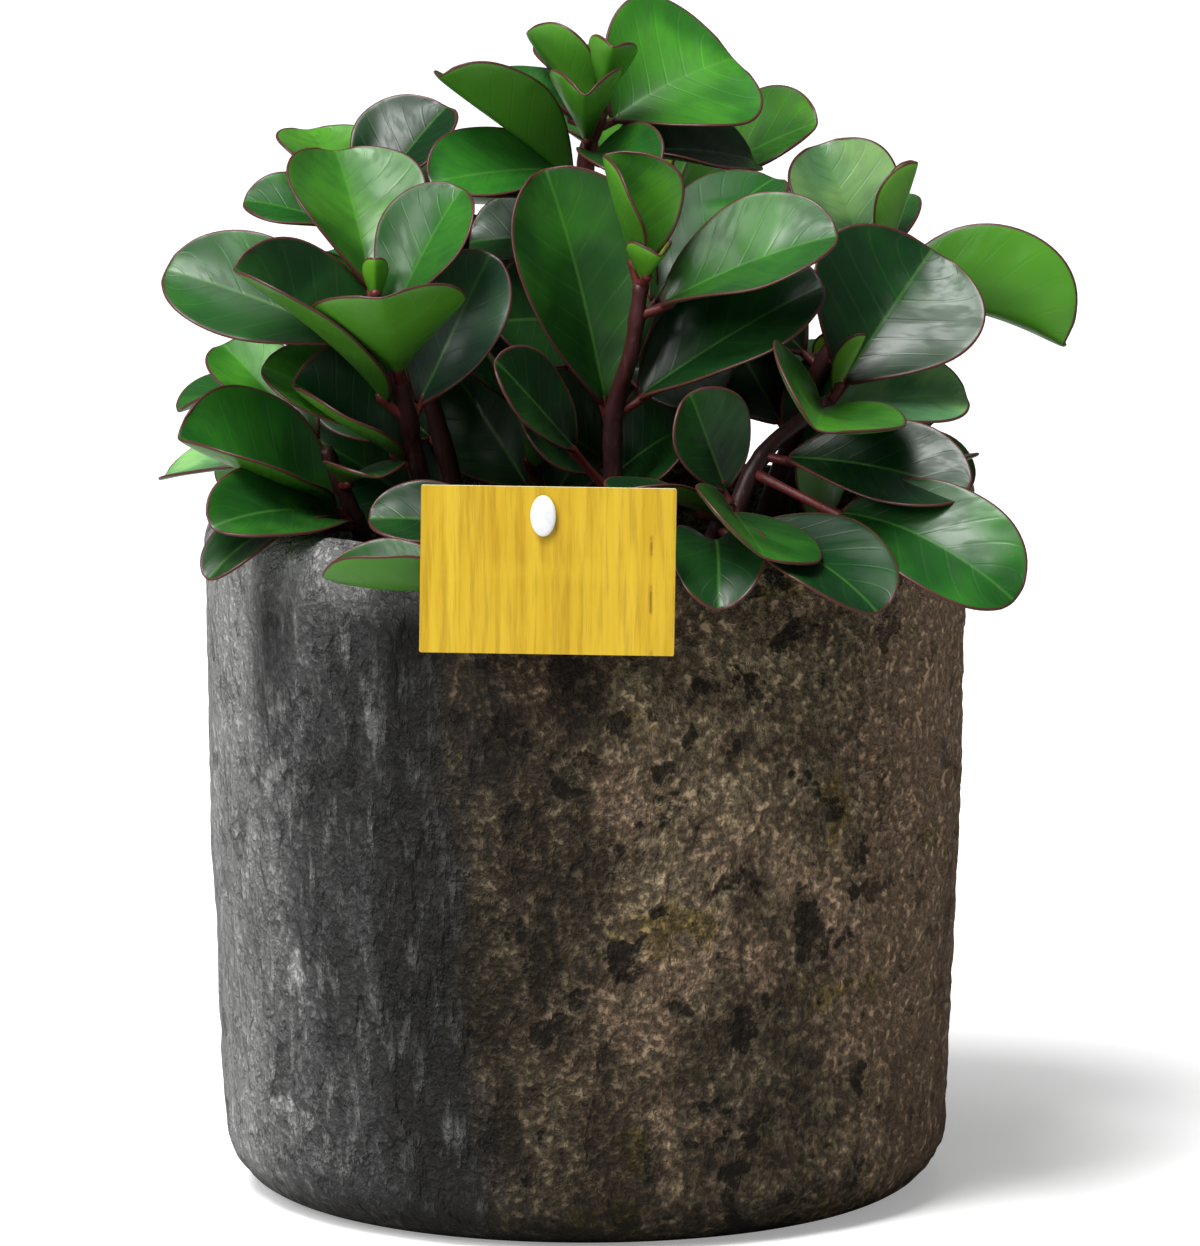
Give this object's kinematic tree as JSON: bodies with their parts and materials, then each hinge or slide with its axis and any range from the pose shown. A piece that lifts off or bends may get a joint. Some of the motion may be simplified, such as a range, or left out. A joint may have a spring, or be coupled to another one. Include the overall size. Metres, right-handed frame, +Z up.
{
  "type": "potted burning bush peperomia",
  "caption": "Red-edged peperomia: a bush of fleshy leafy stems growing in a rough dark cylindrical ceramic pot, with a blank label card on a white pick.",
  "frame": {"origin": "centre of the pot's flat foot", "axes": "+Z up the pot's axis, -Y towards the front with the label card, +X to the right as seen from the front"},
  "size_m": [0.3022, 0.2893, 0.3893],
  "materials": {
    "leaf": "fleshy glossy leaf, deep green above with a thin maroon margin, lighter yellow-green below",
    "stem": "smooth fleshy dark red stem",
    "pot": "rough pitted dark grey-brown ceramic, like lava stone",
    "soil": "crumbly dark peat and bark potting mix",
    "card": "printed yellow wood grain, satin",
    "pick": "smooth white plastic"
  },
  "bodies": {
    "root": {"pot": "pot", "soil": "soil", "label_card": "card", "label_pick": "pick", "stem_front_left": "leaf", "stem_top": "leaf", "stem_centre": "leaf", "stem_right": "leaf", "stem_back_left": "leaf", "stem_back_right": "leaf", "stem_back": "leaf", "stem_middle": "leaf", "stem_low_left": "leaf", "stem_low_right": "leaf", "stem_low_front": "leaf", "stem_low_centre": "leaf", "stem_low_back_left": "leaf", "stem_low_back_right": "leaf", "stem_low_back": "leaf"}
  },
  "joints": []
}
